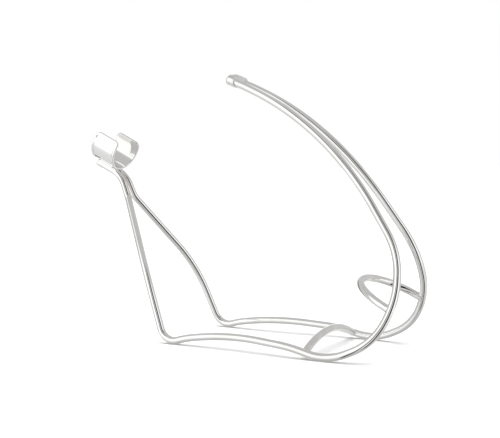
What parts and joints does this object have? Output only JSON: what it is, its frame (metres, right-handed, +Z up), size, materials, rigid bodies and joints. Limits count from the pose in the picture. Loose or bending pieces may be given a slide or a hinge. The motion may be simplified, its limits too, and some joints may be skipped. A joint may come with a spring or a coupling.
{
  "type": "wine rack",
  "caption": "Tabletop cradle of bent polished rod that holds one wine bottle lying tilted, with a neck saddle, a heel bar, a punt loop and an arched carrying handle.",
  "frame": {"origin": "on the table, under the middle of the rack's box", "axes": "+Z up, +X from the mouth of the lying bottle towards its base, Y across the rack, which is its own mirror image across Y = 0"},
  "size_m": [0.2865, 0.1004, 0.2132],
  "materials": {
    "plated_rod": "polished silver plate on bent round rod",
    "plated_sheet": "polished silver plate on bent sheet",
    "plated_cap": "polished silver plate on a cast cap"
  },
  "bodies": {
    "root": {"near_side_rod": "plated_rod", "far_side_rod": "plated_rod", "neck_saddle": "plated_sheet", "heel_bar": "plated_rod", "punt_loop": "plated_rod", "handle_cap": "plated_cap"}
  },
  "joints": []
}
